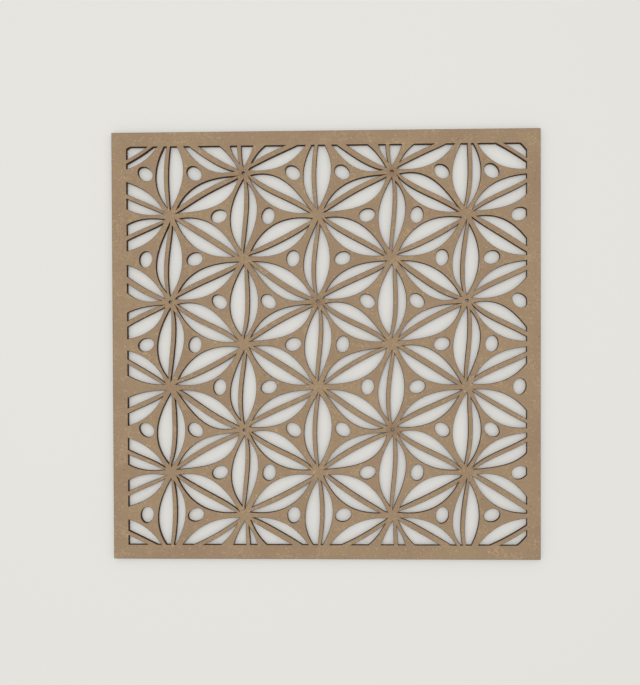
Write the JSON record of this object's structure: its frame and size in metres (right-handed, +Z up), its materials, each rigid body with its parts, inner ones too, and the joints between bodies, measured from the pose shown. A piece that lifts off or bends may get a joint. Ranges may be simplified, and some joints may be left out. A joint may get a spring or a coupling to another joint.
{
  "type": "fretwork panel",
  "caption": "Square thin wood sheet with a plain border and a cut-through lattice of six-petal flowers and small egg-shaped openings, for fixing by its back face.",
  "frame": {"origin": "on the back face, in the middle of the upper border, 5 mm below the top edge", "axes": "+Z up, +X to the right as seen from the front, front face towards -Y, back face in the plane y = 0"},
  "size_m": [0.3, 0.003, 0.3],
  "materials": {
    "mdf": "raw MDF face, matt, with fine pale and dark fibre specks; the cut walls are charred dark brown by the laser"
  },
  "bodies": {
    "root": {"fretwork_panel": "mdf"}
  },
  "joints": []
}
